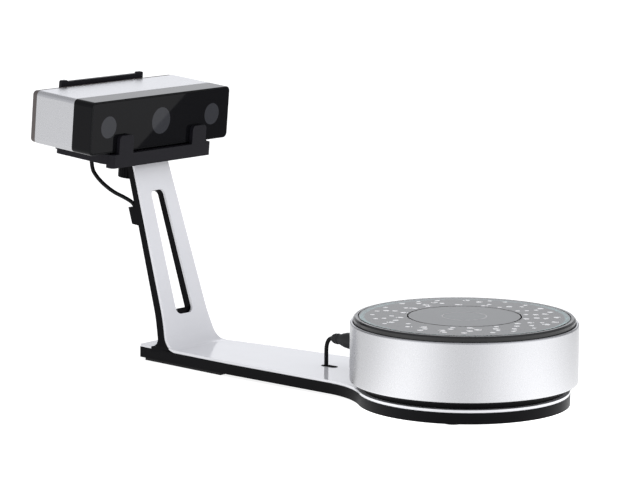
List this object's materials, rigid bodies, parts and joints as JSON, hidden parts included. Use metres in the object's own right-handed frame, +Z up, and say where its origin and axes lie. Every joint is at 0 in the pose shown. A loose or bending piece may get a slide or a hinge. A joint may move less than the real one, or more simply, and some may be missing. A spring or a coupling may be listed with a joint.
{
  "type": "desktop 3d scanner",
  "caption": "Desktop structured-light scanner: scanning head on a leaning arm, long base and a motorised turntable, with the lead between them.",
  "frame": {"origin": "on the surface that the scanner stands on, under the middle of its overall length and width", "axes": "+X along the base from the scanning head towards the turntable, +Z up, +Y to the left when facing +X"},
  "size_m": [0.5657, 0.21, 0.2717],
  "materials": {
    "white_cover": "gloss",
    "black_plastic": "satin",
    "black_gloss": "gloss",
    "dark_cover": "satin",
    "silver_shell": "satin",
    "black_rubber": "matte",
    "lead_rubber": "satin",
    "steel": "satin",
    "bearing_steel": "polished",
    "brass": "satin",
    "gear_plastic": "satin",
    "bench_metal": "satin",
    "dark_metal": "satin",
    "board": "satin",
    "marker_film": "matte",
    "clear_glass": "gloss",
    "lens_glass": "gloss"
  },
  "bodies": {
    "stand": {"base_body": "black_plastic", "bottom_cover": "black_plastic", "top_cover": "white_cover", "foot_cap": "white_cover", "arm_frame": "black_plastic", "arm_screws": "steel", "cable_clip": "black_plastic", "cable_grommet": "black_rubber", "rubber_feet": "black_rubber", "base_screws": "steel", "table_screws": "steel", "drum_base": "black_plastic", "drum_shell": "silver_shell", "drum_socket": "black_plastic", "lead_plug": "lead_rubber", "lead_lower": "lead_rubber", "lead_upper": "lead_rubber", "spindle": "steel", "lower_race": "bearing_steel", "retaining_clip": "steel", "motor_body": "dark_metal", "motor_bracket": "steel", "motor_screws": "steel", "table_board": "board", "swivel_washer": "steel"},
    "platter": {"platter": "black_gloss", "platter_bush": "brass", "upper_race": "bearing_steel", "platter_gear": "gear_plastic", "gear_screws": "steel", "marker_disc": "marker_film", "glass_disc": "clear_glass"},
    "bearing_cage": {"ball_cage": "brass", "bearing_balls": "bearing_steel"},
    "pinion": {"motor_shaft": "steel", "drive_pinion": "brass"},
    "head": {"cradle": "black_plastic", "cradle_pads": "black_rubber", "head_shell": "silver_shell", "front_bezel": "black_gloss", "front_window": "black_gloss", "lens_windows": "lens_glass", "rear_cover": "dark_cover", "optical_bench": "bench_metal", "cameras": "dark_metal", "camera_lenses": "lens_glass", "projector_body": "dark_metal", "projector_lens": "lens_glass", "heat_sink": "bench_metal", "main_board": "board", "fan_frame": "black_plastic", "power_socket": "black_plastic", "data_socket": "steel", "tripod_insert": "brass", "head_gland": "black_rubber", "button_switch": "black_plastic", "button_spring": "steel"},
    "fan": {"fan_impeller": "black_plastic"},
    "knob": {"thumb_screw": "black_plastic"},
    "button": {"power_button": "black_plastic"}
  },
  "joints": [
    {"name": "platter_spin", "type": "hinge", "parent": "stand", "child": "platter", "pos_m": [0.1778, 0, 0.08], "axis": [0, 0, 1], "continuous": true},
    {"name": "cage_spin", "type": "hinge", "parent": "stand", "child": "bearing_cage", "pos_m": [0.1778, 0, 0.0595], "axis": [0, 0, 1], "continuous": true},
    {"name": "pinion_spin", "type": "hinge", "parent": "stand", "child": "pinion", "pos_m": [0.21155, 0.05846, 0.07], "axis": [0, 0, 1], "continuous": true},
    {"name": "head_swivel", "type": "hinge", "parent": "stand", "child": "head", "pos_m": [-0.23418, 0, 0.19834], "axis": [0.0872, 0, 0.9962], "range_deg": [-15, 15], "deforming": ["lead_upper"]},
    {"name": "thumb_screw_turn", "type": "hinge", "parent": "stand", "child": "knob", "pos_m": [-0.23418, 0, 0.19834], "axis": [-0.0872, 0, -0.9962], "range_deg": [0, 720]},
    {"name": "fan_spin", "type": "hinge", "parent": "head", "child": "fan", "pos_m": [-0.26872, 0.0765, 0.23951], "axis": [0.9962, 0, -0.0872], "continuous": true},
    {"name": "button_press", "type": "slide", "parent": "head", "child": "button", "axis": [0.9962, 0, -0.0872], "range_m": [0, 0.0015], "stiffness_N_per_m": 400, "springref_m": -0.0008, "deforming": ["button_spring"]}
  ],
  "couplings": [
    {"joint": "cage_spin", "follows": "platter_spin", "ratio": 0.5},
    {"joint": "pinion_spin", "follows": "platter_spin", "ratio": -8}
  ]
}
